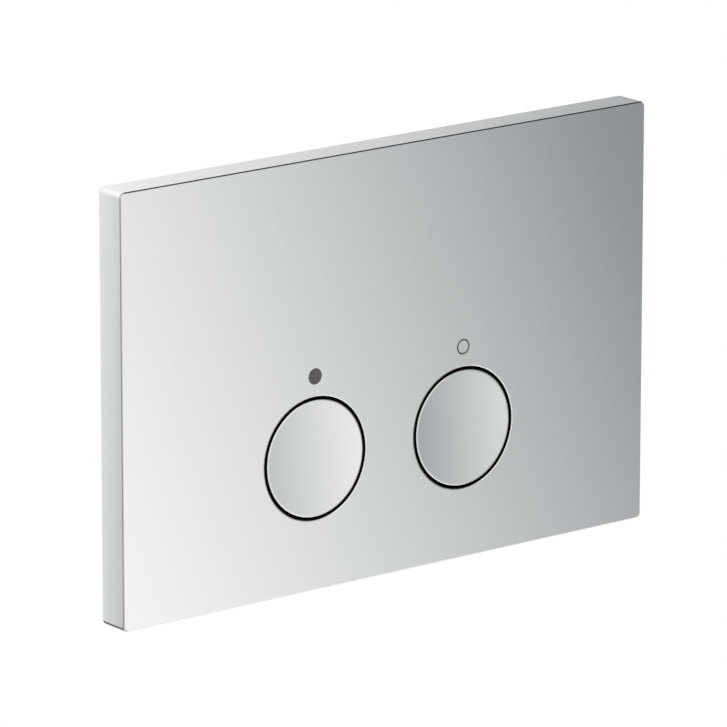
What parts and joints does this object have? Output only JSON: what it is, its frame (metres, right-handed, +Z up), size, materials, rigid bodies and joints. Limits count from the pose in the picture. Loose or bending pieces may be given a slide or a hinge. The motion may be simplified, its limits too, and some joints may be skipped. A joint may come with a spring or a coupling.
{
  "type": "flush button plate",
  "caption": "Wall flush plate for a concealed cistern: slim polished chrome cover with round dished push buttons set flush, clipped onto a bolted frame, with sprung plungers and push rods.",
  "frame": {"origin": "centre of the plate's outline on the wall plane that its back rests on", "axes": "+X to the right seen from the room, +Y into the wall, +Z up"},
  "size_m": [0.246, 0.071, 0.164],
  "materials": {
    "chrome": "polished",
    "black_plastic": "satin",
    "white_plastic": "satin",
    "grey_plastic": "satin",
    "steel": "satin",
    "rubber": "matte"
  },
  "bodies": {
    "plate": {"face_plate": "chrome", "button_carrier": "black_plastic", "carrier_screws": "steel", "mounting_frame": "grey_plastic", "full_flush_spring": "steel", "part_flush_spring": "steel", "full_flush_damper": "rubber", "part_flush_damper": "rubber", "left_fixing_bolt": "steel", "right_fixing_bolt": "steel", "left_fixing_washer": "steel", "right_fixing_washer": "steel"},
    "full_flush": {"full_flush_button": "chrome", "full_flush_plunger": "white_plastic", "full_flush_push_rod": "white_plastic", "full_flush_lock_nut": "grey_plastic"},
    "part_flush": {"part_flush_button": "chrome", "part_flush_plunger": "white_plastic", "part_flush_push_rod": "white_plastic", "part_flush_lock_nut": "grey_plastic"}
  },
  "joints": [
    {"name": "full_flush_press", "type": "slide", "parent": "plate", "child": "full_flush", "axis": [0, 1, 0], "range_m": [0, 0.006], "stiffness_N_per_m": 800, "springref_m": -0.004, "deforming": ["full_flush_spring"]},
    {"name": "part_flush_press", "type": "slide", "parent": "plate", "child": "part_flush", "axis": [0, 1, 0], "range_m": [0, 0.006], "stiffness_N_per_m": 800, "springref_m": -0.004, "deforming": ["part_flush_spring"]}
  ]
}
